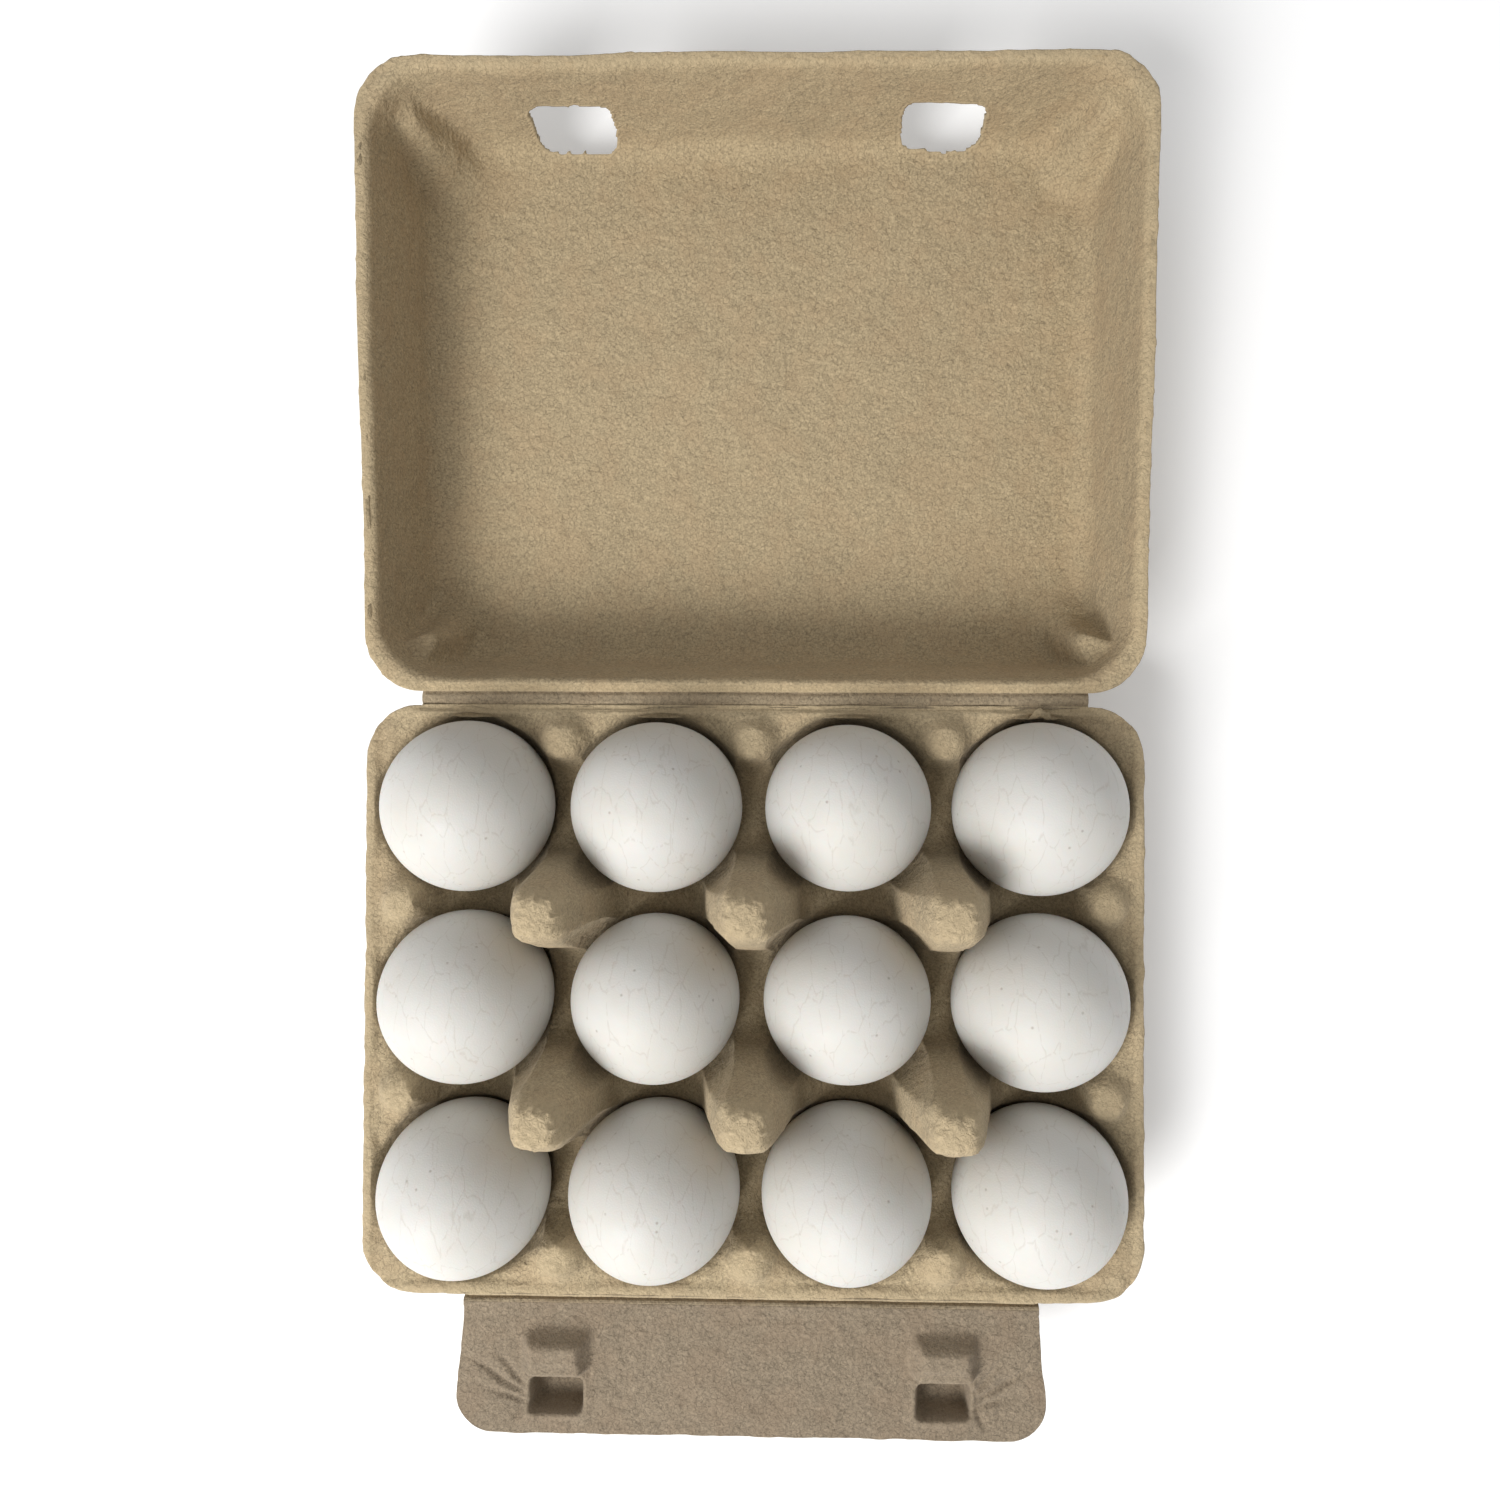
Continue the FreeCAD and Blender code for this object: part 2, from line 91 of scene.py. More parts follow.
def roundCorner(x, y, halfX, lowY, highY, zone, radius, nub=None):
    # pulls the corner of a rectangle in to its radius, or in front of a nub that stands there
    middleY = (lowY + highY) / 2
    halfY = (highY - lowY) / 2
    a = (abs(x) - halfX + zone) / zone
    b = (abs(y - middleY) - halfY + zone) / zone
    if a <= 0 or b <= 0:
        return x, y
    reach = max(a, b)
    rayA, rayB = a / reach, b / reach
    share = radius / zone
    scale = 1.0
    if rayA > 1 - share and rayB > 1 - share:
        total = rayA + rayB
        square = rayA * rayA + rayB * rayB
        inside = (1 - share) ** 2 * total ** 2 - square * (2 * (1 - share) ** 2 - share ** 2)
        scale = ((1 - share) * total + math.sqrt(max(0.0, inside))) / square
    if nub:
        nubA, nubB, nubRadius = nub
        nubA = 1 - nubA / zone
        nubB = 1 - nubB / zone
        size = max(nubRadius, 0) / zone
        square = rayA * rayA + rayB * rayB
        along = rayA * nubA + rayB * nubB
        inside = along ** 2 - square * (nubA ** 2 + nubB ** 2 - size ** 2)
        if size > 0 and inside > 0:
            scale = min(scale, (along - math.sqrt(inside)) / square)
    pull = 1 - (1 - scale) * min(1.0, reach) ** 3
    newX = math.copysign(halfX - zone + a * pull * zone, x)
    newY = middleY + math.copysign(halfY - zone + b * pull * zone, y - middleY)
    return newX, newY


def gridMesh(columns, rows):
    # a flat grid whose vertices are then moved; spans -1 to 1 both ways
    bm = bmesh.new()
    bmesh.ops.create_grid(bm, x_segments=columns, y_segments=rows, size=1)
    return bm


def roughen(bm, tearLayer, coarse, medium, fine, torn, seed):
    # unevenness along the normals, stronger where the pulp is torn
    bm.normal_update()
    moves = []
    for vert in bm.verts:
        place = vert.co
        tear = vert[tearLayer]
        height = coarse * lump(place, 14 * mm, seed) + medium * lump(place, 3.8 * mm, seed + 3)
        height += fine * lump(place, 1.3 * mm, seed + 5)
        rags = shred(place, 4.2 * mm, seed) + 0.4 * shred(place, 1.6 * mm, seed + 2)
        height += tear * torn * max(-0.3, rags)
        moves.append(vert.normal * height)
    for vert, move in zip(bm.verts, moves):
        vert.co += move


def soften(bm, verts, rounds, factor=0.5):
    for _ in range(rounds):
        bmesh.ops.smooth_vert(bm, verts=verts, factor=factor, use_axis_x=True, use_axis_y=True,
                              use_axis_z=True)


def easeEdges(bm):
    # evens out the two rows of points inside a ragged edge
    edge = {vert for vert in bm.verts if vert.is_boundary}
    first = {other for vert in edge for link in vert.link_edges for other in [link.other_vert(vert)]} - edge
    second = {other for vert in first for link in vert.link_edges
              for other in [link.other_vert(vert)]} - edge
    soften(bm, sorted(first | second, key=lambda vert: vert.index), 3, 0.5)


def rimTear(place, inward, width):
    # torn look along an outer edge, in patches
    patch = 0.5 + 0.5 * lump(place, 18 * mm, 61)
    return mix(0.3, 1.0, patch) * step(width, 0.3 * width, inward)


def finishPiece(bm, name, material, body, nodes, wall=0.0):
    for face in bm.faces:
        face.smooth = True
    mesh = bpy.data.meshes.new(name)
    bm.to_mesh(mesh)
    bm.free()
    piece = bpy.data.objects.new(name, mesh)
    bpy.context.scene.collection.objects.link(piece)
    mesh.materials.append(material)
    if wall:
        thickness = piece.modifiers.new("wall", "SOLIDIFY")
        thickness.thickness = wall
        thickness.offset = -1
    if body:
        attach(piece, body)
    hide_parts(*nodes)
    print("made", name)
    return piece


# ---- materials

def makeGroup(name, inputs, outputs):
    tree = bpy.data.node_groups.new(name, "ShaderNodeTree")
    for label, kind, default in inputs:
        socket = tree.interface.new_socket(label, in_out="INPUT", socket_type=kind)
        if default is not None:
            socket.default_value = default
    for label, kind in outputs:
        tree.interface.new_socket(label, in_out="OUTPUT", socket_type=kind)
    return tree, tree.nodes.new("NodeGroupInput"), tree.nodes.new("NodeGroupOutput")


def addNode(tree, kind, links=None, **settings):
    node = tree.nodes.new(kind)
    for key, setting in settings.items():
        setattr(node, key, setting)
    for socket, source in (links or {}).items():
        if isinstance(source, bpy.types.NodeSocket):
            tree.links.new(source, node.inputs[socket])
        else:
            node.inputs[socket].default_value = source
    return node


def maths(tree, operation, first, second=0.0, third=None, clamp=False):
    node = tree.nodes.new("ShaderNodeMath")
    node.operation = operation
    node.use_clamp = clamp
    for index, source in enumerate((first, second, third)):
        if isinstance(source, bpy.types.NodeSocket):
            tree.links.new(source, node.inputs[index])
        elif source is not None:
            node.inputs[index].default_value = source
    return node.outputs[0]


def remap(tree, source, low, high, outLow=0.0, outHigh=1.0):
    node = addNode(tree, "ShaderNodeMapRange", {"Value": source, "From Min": low, "From Max": high,
                                                "To Min": outLow, "To Max": outHigh})
    return node.outputs["Result"]


def colourMix(tree, share, first, second, blendType="MIX"):
    node = tree.nodes.new("ShaderNodeMix")
    node.data_type = "RGBA"
    node.blend_type = blendType
    node.clamp_factor = True
    for index, source in ((0, share), (6, first), (7, second)):
        if isinstance(source, bpy.types.NodeSocket):
            tree.links.new(source, node.inputs[index])
        else:
            node.inputs[index].default_value = source
    return node.outputs[2]


def noiseTexture(tree, vector, scale, detail=2.0, rough=0.5, distortion=0.0):
    node = addNode(tree, "ShaderNodeTexNoise", {"Vector": vector, "Scale": scale, "Detail": detail,
                                                "Roughness": rough, "Distortion": distortion})
    return node.outputs["Fac"]


def fibreGroup():
    # short curled fibres: thin lines of a warped cell pattern, broken up by a second noise
    tree, inside, outside = makeGroup(
        "paperFibres",
        [("Vector", "NodeSocketVector", None), ("Scale", "NodeSocketFloat", 900.0),
         ("Width", "NodeSocketFloat", 0.06), ("Amount", "NodeSocketFloat", 0.5)],
        [("Mask", "NodeSocketFloat")])
    warp = addNode(tree, "ShaderNodeTexNoise", {"Vector": inside.outputs["Vector"], "Scale": 420.0,
                                                "Detail": 1.0})
    shift = addNode(tree, "ShaderNodeVectorMath", {0: warp.outputs["Color"], 1: (0.0016, 0.0016, 0.0016)},
                    operation="MULTIPLY")
    moved = addNode(tree, "ShaderNodeVectorMath", {0: inside.outputs["Vector"], 1: shift.outputs[0]},
                    operation="ADD")
    cells = addNode(tree, "ShaderNodeTexVoronoi", {"Vector": moved.outputs[0],
                                                   "Scale": inside.outputs["Scale"]},
                    feature="DISTANCE_TO_EDGE")
    line = addNode(tree, "ShaderNodeMapRange", {"Value": cells.outputs["Distance"], "From Min": 0.0,
                                                "From Max": inside.outputs["Width"], "To Min": 1.0,
                                                "To Max": 0.0}).outputs["Result"]
    broken = noiseTexture(tree, inside.outputs["Vector"], 1300.0, 1.0)
    kept = addNode(tree, "ShaderNodeMapRange", {"Value": broken, "From Min": 0.62, "From Max": 0.5,
                                                "To Min": 0.0, "To Max": 1.0}).outputs["Result"]
    share = maths(tree, "MULTIPLY", line, kept)
    tree.links.new(maths(tree, "MULTIPLY", share, inside.outputs["Amount"]), outside.inputs["Mask"])
    return tree


def mottleGroup():
    # slow drift of shade plus fine grain, centred on zero
    tree, inside, outside = makeGroup(
        "pulpMottle",
        [("Vector", "NodeSocketVector", None), ("Drift", "NodeSocketFloat", 0.1),
         ("Grain", "NodeSocketFloat", 0.1)],
        [("Shade", "NodeSocketFloat"), ("Warmth", "NodeSocketFloat")])
    vector = inside.outputs["Vector"]
    slow = maths(tree, "SUBTRACT", noiseTexture(tree, vector, 42.0, 3.0), 0.5)
    middle = maths(tree, "SUBTRACT", noiseTexture(tree, vector, 260.0, 3.0, 0.6), 0.5)
    grain = maths(tree, "SUBTRACT", noiseTexture(tree, vector, 1500.0, 3.0, 0.65), 0.5)
    drift = maths(tree, "MULTIPLY", maths(tree, "ADD", slow, middle), inside.outputs["Drift"])
    fine = maths(tree, "MULTIPLY", grain, inside.outputs["Grain"])
    tree.links.new(maths(tree, "ADD", drift, fine), outside.inputs["Shade"])
    tree.links.new(noiseTexture(tree, vector, 110.0, 2.0, 0.5), outside.inputs["Warmth"])
    return tree


def fleckGroup():
    # sparse dots, each in its own cell of a scattered pattern
    tree, inside, outside = makeGroup(
        "scatteredFlecks",
        [("Vector", "NodeSocketVector", None), ("Scale", "NodeSocketFloat", 300.0),
         ("Size", "NodeSocketFloat", 0.12), ("Share", "NodeSocketFloat", 0.3)],
        [("Mask", "NodeSocketFloat")])
    cells = addNode(tree, "ShaderNodeTexVoronoi", {"Vector": inside.outputs["Vector"],
                                                   "Scale": inside.outputs["Scale"]})
    dot = addNode(tree, "ShaderNodeMapRange", {"Value": cells.outputs["Distance"], "From Min": 0.0,
                                               "From Max": inside.outputs["Size"], "To Min": 1.0,
                                               "To Max": 0.0}).outputs["Result"]
    pick = addNode(tree, "ShaderNodeSeparateColor", {"Color": cells.outputs["Color"]})
    kept = maths(tree, "LESS_THAN", pick.outputs[0], inside.outputs["Share"])
    tree.links.new(maths(tree, "MULTIPLY", dot, kept), outside.inputs["Mask"])
    return tree


fibres = fibreGroup()
mottle = mottleGroup()
flecks = fleckGroup()


def placeGroup(tree, group, links):
    node = tree.nodes.new("ShaderNodeGroup")
    node.node_tree = group
    for socket, source in links.items():
        if isinstance(source, bpy.types.NodeSocket):
            tree.links.new(source, node.inputs[socket])
        else:
            node.inputs[socket].default_value = source
    return node


def emptyMaterial(name):
    material = bpy.data.materials.new(name)
    material.use_nodes = True
    tree = material.node_tree
    shader = tree.nodes["Principled BSDF"]
    return material, tree, shader


def pulpMaterial(name, colour, finish):
    material, tree, shader = emptyMaterial(name)
    vector = addNode(tree, "ShaderNodeTexCoord").outputs["Object"]
    tear = addNode(tree, "ShaderNodeAttribute", attribute_name="tear").outputs["Fac"]
    base = placeGroup(tree, mottle, {"Vector": vector, "Drift": finish["drift"], "Grain": finish["grain"]})
    dark = placeGroup(tree, fibres, {"Vector": vector, "Scale": 620.0, "Width": 0.05,
                                     "Amount": finish["darkFibres"]})
    turned = addNode(tree, "ShaderNodeMapping", {"Vector": vector, "Rotation": (0.7, 0.4, 1.1)})
    pale = placeGroup(tree, fibres, {"Vector": turned.outputs[0], "Scale": 760.0, "Width": 0.05,
                                     "Amount": finish["paleFibres"]})
    darkDots = placeGroup(tree, flecks, {"Vector": vector, "Scale": 420.0, "Size": 0.2, "Share": 0.1})
    paleDots = placeGroup(tree, flecks, {"Vector": turned.outputs[0], "Scale": 520.0, "Size": 0.24,
                                         "Share": 0.12})
    tone = remap(tree, base.outputs["Shade"], -0.5, 0.5)
    shaded = addNode(tree, "ShaderNodeValToRGB", {"Fac": tone})
    ramp = shaded.color_ramp
    ramp.elements[0].position, ramp.elements[1].position = 0.3, 0.7
    ramp.elements[0].color = [part * 0.68 for part in colour] + [1]
    ramp.elements[1].color = [min(1.0, part * 1.34) for part in colour] + [1]
    warm = [colour[0] * 1.06, colour[1] * 0.97, colour[2] * 0.93, 1]
    tinted = colourMix(tree, remap(tree, base.outputs["Warmth"], 0.45, 0.62, 0.0, 0.3),
                       shaded.outputs["Color"], warm)
    tinted = colourMix(tree, dark.outputs["Mask"], tinted, [part * 0.42 for part in colour] + [1])
    tinted = colourMix(tree, pale.outputs["Mask"], tinted, [min(1, part * 1.6) for part in colour] + [1])
    tinted = colourMix(tree, maths(tree, "MULTIPLY", darkDots.outputs["Mask"], 0.6), tinted,
                       [part * 0.35 for part in colour] + [1])
    tinted = colourMix(tree, maths(tree, "MULTIPLY", paleDots.outputs["Mask"], 0.4), tinted,
                       [min(1, part * 1.7) for part in colour] + [1])
    torn = colourMix(tree, maths(tree, "MULTIPLY", tear, 0.7), tinted,
                     [min(1, part * 1.4) for part in colour] + [1])
    tree.links.new(torn, shader.inputs["Base Color"])
    rough = remap(tree, noiseTexture(tree, vector, 500.0, 2.0), 0.3, 0.7, 0.86, 0.97)
    tree.links.new(rough, shader.inputs["Roughness"])
    height = maths(tree, "MULTIPLY", noiseTexture(tree, vector, 900.0, 4.0, 0.62), 0.55)
    dimples = noiseTexture(tree, vector, 300.0, 3.0, 0.5, 0.5)
    height = maths(tree, "ADD", height, maths(tree, "MULTIPLY", dimples, 2.0))
    height = maths(tree, "ADD", height, maths(tree, "MULTIPLY", pale.outputs["Mask"], 0.25))
    height = maths(tree, "SUBTRACT", height, maths(tree, "MULTIPLY", dark.outputs["Mask"], 0.3))
    rags = maths(tree, "MULTIPLY", noiseTexture(tree, vector, 700.0, 5.0, 0.7, 0.6), tear)
    height = maths(tree, "ADD", height, maths(tree, "MULTIPLY", rags, 2.2))
    bump = addNode(tree, "ShaderNodeBump", {"Height": height, "Strength": finish["bump"],
                                            "Distance": 0.0005})
    tree.links.new(bump.outputs[0], shader.inputs["Normal"])
    shader.inputs["Specular IOR Level"].default_value = 0.18
    shader.inputs["Sheen Weight"].default_value = 0.06
    shader.inputs["Sheen Roughness"].default_value = 0.6
    return material


def eggMaterial(name, colour, look):
    material, tree, shader = emptyMaterial(name)
    vector = addNode(tree, "ShaderNodeTexCoord").outputs["Object"]
    cloud = noiseTexture(tree, vector, look["cloudScale"], 3.0, 0.55)
    patch = colourMix(tree, remap(tree, cloud, 0.35, 0.68), [*colour, 1],
                      [colour[0] * 0.955, colour[1] * 0.945, colour[2] * 0.92, 1])
    dots = placeGroup(tree, flecks, {"Vector": vector, "Scale": 330.0, "Size": 0.16, "Share": 0.22})
    marked = colourMix(tree, maths(tree, "MULTIPLY", dots.outputs["Mask"], 0.7), patch,
                       (0.24, 0.19, 0.15, 1))
    stretched = addNode(tree, "ShaderNodeMapping", {"Vector": vector, "Scale": (1.0, 0.4, 0.55),
                                                    "Rotation": (0.3, 0.9, 0.5)})
    scratches = placeGroup(tree, fibres, {"Vector": stretched.outputs[0], "Scale": 190.0, "Width": 0.03,
                                          "Amount": 0.45})
    marked = colourMix(tree, scratches.outputs["Mask"], marked, (0.45, 0.41, 0.36, 1))
    tree.links.new(marked, shader.inputs["Base Color"])
    rough = remap(tree, noiseTexture(tree, vector, 300.0, 2.0), 0.3, 0.7, 0.5, 0.64)
    tree.links.new(rough, shader.inputs["Roughness"])
    height = maths(tree, "ADD", noiseTexture(tree, vector, 2200.0, 2.0),
                   maths(tree, "MULTIPLY", noiseTexture(tree, vector, 420.0, 2.0), 0.8))
    height = maths(tree, "SUBTRACT", height, maths(tree, "MULTIPLY", dots.outputs["Mask"], 0.7))
    bump = addNode(tree, "ShaderNodeBump", {"Height": height, "Strength": 0.16, "Distance": 0.0003})
    tree.links.new(bump.outputs[0], shader.inputs["Normal"])
    shader.inputs["Specular IOR Level"].default_value = 0.28
    shader.inputs["Subsurface Weight"].default_value = 0.12
    shader.inputs["Subsurface Scale"].default_value = 0.004
    return material


finish = {"drift": 0.14, "grain": 0.9, "darkFibres": 0.55, "paleFibres": 0.5, "bump": 0.85}
trayPulp = pulpMaterial("trayPulp", (0.385, 0.305, 0.19), finish)
# the crease strips take the pulp's colour darkened to about 0.73 of the tray's: painted shade for the shadow
# in and beside the creases
creasePaintedShadePulp = pulpMaterial("creasePaintedShadePulp", (0.28, 0.222, 0.146), finish)
lidPulp = pulpMaterial("lidPulp", (0.385, 0.303, 0.186), finish)
# the flap takes the pulp's colour darkened to about 0.6 of the tray's: painted shade for the flap getting
# less light than the tray
flapPaintedShadePulp = pulpMaterial("flapPaintedShadePulp", (0.232, 0.184, 0.128), finish)


# ---- tray

tray = {
    "wall": 1.7 * mm,
    "floorRadius": 9 * mm,
    "rimRadius": 24.2 * mm,
    "topRadius": 28 * mm,
    "bellySpread": 9.8 * mm,
    "saddle": 22 * mm,
    "saddleRadius": 13 * mm,
    "saddleReach": 12 * mm,
    "postReach": 19.4 * mm,
    "bump": 4.2 * mm,
    "bumpRadius": 6.8 * mm,
    "bumpInset": 10.8 * mm,
    "cornerRadius": 14 * mm,
    "cornerZone": 24 * mm,
    "landWidth": 1.4 * mm,
    "cellSteps": 48,
    "bandSteps": 4,
    "floorShare": 0.22,
    "crestShare": 0.84,
    "crown": 1.3 * mm,
}
half = pitch / 2
postTop = trayHigh.z


def bowlRadius(z):
    if z < rim:
        share = max(0.0, (z - tray["wall"]) / (rim - tray["wall"]))
        spread = tray["bellySpread"] * share * (1 - share)
        return mix(tray["floorRadius"], tray["rimRadius"], share) + spread
    return mix(tray["rimRadius"], tray["topRadius"], (z - rim) / rim)


def ridgeHeight(along):
    # height of the ridge between two cells, from the saddle in the middle to the post at its end
    radius = tray["saddleRadius"]
    reach = min(along, tray["saddleReach"])
    arc = tray["saddle"] + radius - math.sqrt(radius * radius - reach * reach)
    if along <= tray["saddleReach"]:
        return arc
    share = min(1.0, (along - tray["saddleReach"]) / (tray["postReach"] - tray["saddleReach"]))
    return mix(arc, postTop, share ** 0.8)


def bumpHeight(x, y, outerX):
    # low bumps inside the rim where a ridge meets it; x and y from the cell's middle
    if outerX:
        edgeX = trayHigh.x - abs(columnXs[0])
        distance = math.hypot(abs(x) - edgeX + tray["bumpInset"], abs(y) - half)
    else:
        edgeY = -trayLow.y - abs(rowYs[0])
        distance = math.hypot(abs(x) - half, abs(y) - edgeY + tray["bumpInset"])
    return tray["bump"] * step(tray["bumpRadius"] * 1.15, tray["bumpRadius"] * 0.5, distance)


def crestHeight(x, y, outerX, outerY):
    if outerX and outerY:
        return rim
    if not outerX and not outerY:
        return ridgeHeight(min(abs(x), abs(y)))
    along = abs(x) if outerX else abs(y)
    return min(rim, ridgeHeight(along)) + bumpHeight(x, y, outerX)


def arcTable(outer):
    # distance along the ridge's own line, so that its steep side gets its share of points
    steps = 60
    lengths = [0.0]
    for index in range(steps):
        a = half * index / steps
        b = half * (index + 1) / steps
        heights = [min(rim + tray["bump"], ridgeHeight(d)) if outer else ridgeHeight(d) for d in (a, b)]
        lengths.append(lengths[-1] + math.hypot(b - a, heights[1] - heights[0]))
    return [length / lengths[-1] for length in lengths]


ridgeArcs = {False: arcTable(False), True: arcTable(True)}


def alongRidge(share, outer):
    table = ridgeArcs[outer]
    for index in range(len(table) - 1):
        if share <= table[index + 1]:
            part = (share - table[index]) / (table[index + 1] - table[index])
            return (index + part) / (len(table) - 1)
    return 1.0


def wallTop(across, along, outerX, outerY):
    # where the bowl's wall meets the ridge, on the ray with these direction parts
    low, high = 17 * mm, 31 * mm
    for _ in range(16):
        middle = (low + high) / 2
        if middle < bowlRadius(crestHeight(across * middle, along * middle, outerX, outerY)):
            low = middle
        else:
            high = middle
    return low


def cellPoint(u, v, outerLeft, outerRight, outerFront, outerRear):
    # u, v in -1..1 over one cell; returns x, y from its middle and the height
    reach = max(abs(u), abs(v))
    if reach < 1e-6:
        return 0.0, 0.0, tray["wall"]
    outerX = outerRight if u > 0 else outerLeft
    outerY = outerRear if v > 0 else outerFront
    sideX = abs(u) >= abs(v)
    ratio = min(abs(u), abs(v)) / reach
    outer = outerX or outerY
    byAngle = math.tan(ratio * math.pi / 4)
    byArc = alongRidge(ratio, outer)
    spread = mix(byAngle, byArc, step(0.15, 0.75, reach))
    size = math.hypot(1, spread)
    dirX, dirY = (1 / size, spread / size) if sideX else (spread / size, 1 / size)
    edge = half * size
    floorShare, crestShare = tray["floorShare"], tray["crestShare"]
    if reach <= floorShare:
        radius = tray["floorRadius"] * reach / floorShare
        height = tray["wall"]
    else:
        top = min(wallTop(dirX, dirY, outerX, outerY), edge - 0.3 * mm)
        crest = crestHeight(dirX * top, dirY * top, outerX, outerY)
        crown = tray["crown"] * min(1.0, (edge - top) / (3 * mm))
        if reach <= crestShare:
            share = (reach - floorShare) / (crestShare - floorShare)
            height = mix(tray["wall"], crest - crown, share)
            radius = tray["floorRadius"] if share == 0 else min(bowlRadius(height), top)
        else:
            share = (reach - crestShare) / (1 - crestShare)
            radius = mix(top, edge, share)
            height = crestHeight(dirX * radius, dirY * radius, outerX, outerY) - crown * (1 - share) ** 2
    return math.copysign(dirX * radius, u), math.copysign(dirY * radius, v), height


def makeTray():
    steps, band = tray["cellSteps"], tray["bandSteps"]
    columns = steps * len(columnXs) + 2 * band
    rows = steps * len(rowYs) + 2 * band
    bm = gridMesh(columns, rows)
    tearLayer = bm.verts.layers.float.new("tear")
    edges = {"x": (trayLow.x, trayHigh.x), "y": (trayLow.y, trayHigh.y)}

    def split(index, total, centres, low, high):
        # the cell that this grid line is in, its place there from -1 to 1, and how far out on the flange
        inner = index - band
        count = len(centres)
        clipped = min(max(inner, 0), total - 2 * band)
        cell = min(clipped // steps, count - 1)
        place = 2 * (clipped - cell * steps) / steps - 1
        outward = 0.0
        if inner < 0:
            outward = inner / band
        elif inner > total - 2 * band:
            outward = (inner - total + 2 * band) / band
        return cell, place, outward

    for vert in bm.verts:
        i = round((vert.co.x + 1) / 2 * columns)
        j = round((vert.co.y + 1) / 2 * rows)
        column, u, outX = split(i, columns, columnXs, *edges["x"])
        row, v, outY = split(j, rows, rowYs, *edges["y"])
        x, y, z = cellPoint(u, v, column == 0, column == len(columnXs) - 1, row == 0,
                            row == len(rowYs) - 1)
        x += columnXs[column]
        y += rowYs[row]
        if outX:
            x += outX * (trayHigh.x - columnXs[-1] - half)
            z = rim + (z - rim) * (1 - abs(outX))
        if outY:
            room = trayHigh.y - rowYs[-1] - half if outY > 0 else rowYs[0] - half - trayLow.y
            y += outY * room
            z = rim + (z - rim) * (1 - abs(outY))
        x, y = roundCorner(x, y, trayHigh.x, trayLow.y, trayHigh.y, tray["cornerZone"],
                           tray["cornerRadius"])
        vert.co = (x, y, z)

    crests = [vert for vert in bm.verts if vert.co.z > 15 * mm]
    soften(bm, crests, 1, 0.5)
    low = [vert for vert in bm.verts if vert.co.z <= 15 * mm]
    soften(bm, low, 4, 0.5)

    def inwards(place):
        return min(trayHigh.x - abs(place.x), place.y - trayLow.y, trayHigh.y - place.y)

    def rough(place):
        # how torn the pulp is: the post tops and the bumps along the rim
        tear = step(postTop - 7 * mm, postTop - 2.5 * mm, place.z)
        if rim + 0.8 * mm < place.z < rim + 6 * mm and inwards(place) < 20 * mm:
            tear = max(tear, 0.6 * step(rim + 0.8 * mm, rim + 2.2 * mm, place.z))
        return tear

    coarse = [edge for edge in bm.edges if all(rough(vert.co) > 0.2 for vert in edge.verts)]
    bmesh.ops.subdivide_edges(bm, edges=coarse, cuts=2, use_grid_fill=True)
    for vert in bm.verts:
        tear = max(rough(vert.co), rimTear(vert.co, inwards(vert.co), 3.2 * mm))
        vert[tearLayer] = tear
    roughen(bm, tearLayer, 0.32 * mm, 0.24 * mm, 0.1 * mm, 1.1 * mm, 1.3)
    halfHinge = hingeHigh.x
    for vert in bm.verts:
        place = vert.co
        land = step(trayHigh.y - tray["landWidth"] - 0.8 * mm, trayHigh.y - tray["landWidth"], place.y)
        land *= step(halfHinge + 2.5 * mm, halfHinge - 1 * mm, abs(place.x))
        place.z -= land * (rim - pivotZ)
        # a shallow groove just inside the rim, between the bumps and the flange
        inward = inwards(place)
        if abs(place.z - rim) < 4.5 * mm and inward < 6 * mm:
            place.z -= 0.9 * mm * math.exp(-((inward - 4.0 * mm) / (0.9 * mm)) ** 2)
        if vert.is_boundary:
            ragged = 0.35 * mm * lump(place, 5 * mm, 7) + 0.15 * mm * lump(place, 1.4 * mm, 8)
            straight = abs(place.y - trayLow.y) < 1 * mm and abs(place.x) < stripHigh.x
            straight = straight or (abs(place.y - trayHigh.y) < 1 * mm and abs(place.x) < halfHinge)
            if not straight:
                outward = Vector((place.x / trayHigh.x, place.y / trayHigh.y, 0)).normalized()
                vert.co += outward * (ragged - 0.3 * mm)
                vert.co.z -= 0.25 * mm
    easeEdges(bm)
    finishPiece(bm, "eggTray", trayPulp, "tray", ["base_tray"], tray["wall"])


makeTray()


# ---- lid

lid = {
    "tilt": 4.939,
    "length": 159.2 * mm,
    "top": 1.35 * mm,
    "depth": 33.8 * mm,
    "flange": 3.8 * mm,
    "rearFlange": 3.5 * mm,
    "draft": 9.6,
    "rimBend": 1.3 * mm,
    "floorBend": 6.5 * mm,
    "rearFloorBend": 12 * mm,
    "corner": 15 * mm,
    "zone": 34 * mm,
    "nubInset": 7 * mm,
    "rearNubInset": 9 * mm,
    "nubFoot": 12.5 * mm,
    "rearNubFoot": 9 * mm,
    "nubTop": 2.6 * mm,
    "nubStart": 10.5 * mm,
    "flangeSteps": 5,
    "wallSteps": 30,
    "floorColumns": 130,
    "floorRows": 96,
    "holeSpacing": 99 * mm,
    "holeWidth": 21.6 * mm,
    "holeTop": 16.2 * mm,
    "holeBottom": 32.6 * mm,
}
tiltAngle = math.radians(lid["tilt"])
pivotY = hingeHigh.y


def tipLid(x, y, z):
    # from the lid's own flat frame, with its crease on the X axis, to where it rests
    return Vector((x, pivotY + y * math.cos(tiltAngle) - z * math.sin(tiltAngle),
                   pivotZ + y * math.sin(tiltAngle) + z * math.cos(tiltAngle)))


